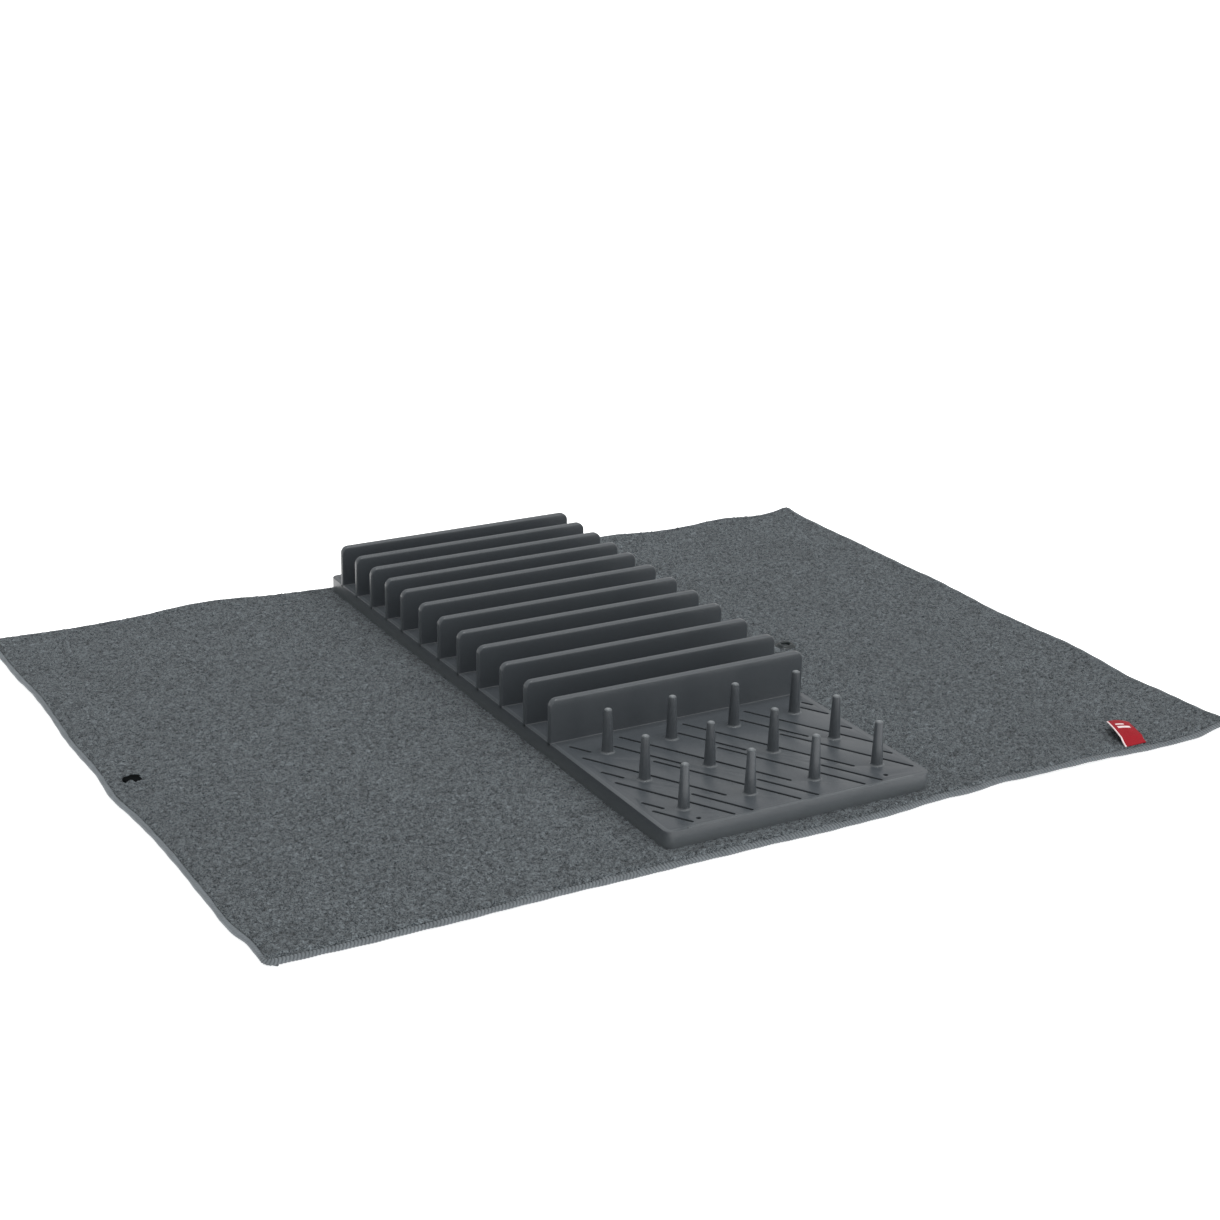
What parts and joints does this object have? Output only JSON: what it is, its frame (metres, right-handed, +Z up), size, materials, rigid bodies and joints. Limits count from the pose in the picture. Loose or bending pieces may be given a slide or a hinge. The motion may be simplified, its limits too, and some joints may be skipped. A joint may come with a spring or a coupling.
{
  "type": "foldable dish-drying mat with rack",
  "caption": "Quilted microfibre dish-drying mat with a lift-off moulded rack of plate fins and cup pegs; both ends fold over the rack and close with a snap.",
  "frame": {"origin": "on the table under the middle of the flat mat's box", "axes": "+X along the plate fins towards the wider right riser, +Y away from the peg end of the rack, +Z up"},
  "size_m": [0.612, 0.468, 0.0399],
  "materials": {
    "terry_pile": "blue-grey microfibre terry pile",
    "foam_core": "open-cell sponge sheet",
    "backing_cloth": "blue-grey knitted backing cloth",
    "binding_thread": "grey overlocked edge thread",
    "rack_plastic": "satin blue-grey moulded polypropylene",
    "snap_plastic": "black moulded press stud",
    "label_weave": "red woven satin label with a pale selvedge"
  },
  "bodies": {
    "mat_centre": {"centre_terry": "terry_pile", "centre_foam_core": "foam_core", "centre_backing": "backing_cloth", "centre_front_binding": "binding_thread", "centre_back_binding": "binding_thread"},
    "left_riser": {"left_riser_terry": "terry_pile", "left_riser_foam_core": "foam_core", "left_riser_backing": "backing_cloth", "left_riser_front_binding": "binding_thread", "left_riser_back_binding": "binding_thread"},
    "left_flap": {"left_flap_terry": "terry_pile", "left_flap_foam_core": "foam_core", "left_flap_backing": "backing_cloth", "left_flap_binding": "binding_thread", "left_snap_cap": "snap_plastic", "left_snap_stud": "snap_plastic"},
    "right_riser": {"right_riser_terry": "terry_pile", "right_riser_foam_core": "foam_core", "right_riser_backing": "backing_cloth", "right_riser_front_binding": "binding_thread", "right_riser_back_binding": "binding_thread", "right_snap_socket": "snap_plastic", "right_snap_cap": "snap_plastic"},
    "right_flap": {"right_flap_terry": "terry_pile", "right_flap_foam_core": "foam_core", "right_flap_backing": "backing_cloth", "right_flap_binding": "binding_thread", "hem_label": "label_weave"},
    "rack": {"rack_deck": "rack_plastic", "rack_skirt_front": "rack_plastic", "rack_skirt_back": "rack_plastic", "rack_skirt_left": "rack_plastic", "rack_skirt_right": "rack_plastic", "plate_fin_01": "rack_plastic", "plate_fin_02": "rack_plastic", "plate_fin_03": "rack_plastic", "plate_fin_04": "rack_plastic", "plate_fin_05": "rack_plastic", "plate_fin_06": "rack_plastic", "plate_fin_07": "rack_plastic", "plate_fin_08": "rack_plastic", "plate_fin_09": "rack_plastic", "plate_fin_10": "rack_plastic", "plate_fin_11": "rack_plastic", "plate_fin_12": "rack_plastic", "cup_peg_01": "rack_plastic", "cup_peg_02": "rack_plastic", "cup_peg_03": "rack_plastic", "cup_peg_04": "rack_plastic", "cup_peg_05": "rack_plastic", "cup_peg_06": "rack_plastic", "cup_peg_07": "rack_plastic", "cup_peg_08": "rack_plastic", "cup_peg_09": "rack_plastic", "cup_peg_10": "rack_plastic", "cup_peg_11": "rack_plastic", "cup_peg_12": "rack_plastic"}
  },
  "joints": [
    {"name": "left_riser_fold", "type": "hinge", "parent": "mat_centre", "child": "left_riser", "pos_m": [-0.08, 0, 0.004], "axis": [0, 1, 0], "range_deg": [0, 90]},
    {"name": "left_flap_fold", "type": "hinge", "parent": "left_riser", "child": "left_flap", "pos_m": [-0.12, 0, 0.004], "axis": [0, 1, 0], "range_deg": [0, 90]},
    {"name": "right_riser_fold", "type": "hinge", "parent": "mat_centre", "child": "right_riser", "pos_m": [0.109, 0, 0.004], "axis": [0, -1, 0], "range_deg": [0, 90]},
    {"name": "right_flap_fold", "type": "hinge", "parent": "right_riser", "child": "right_flap", "pos_m": [0.157, 0, 0.004], "axis": [0, -1, 0], "range_deg": [0, 90]},
    {"name": "rack_lift", "type": "slide", "parent": "mat_centre", "child": "rack", "axis": [0, 0, 1], "range_m": [0, 0.12]}
  ],
  "couplings": [
    {"joint": "left_flap_fold", "follows": "left_riser_fold", "ratio": 1},
    {"joint": "right_flap_fold", "follows": "right_riser_fold", "ratio": 1}
  ]
}
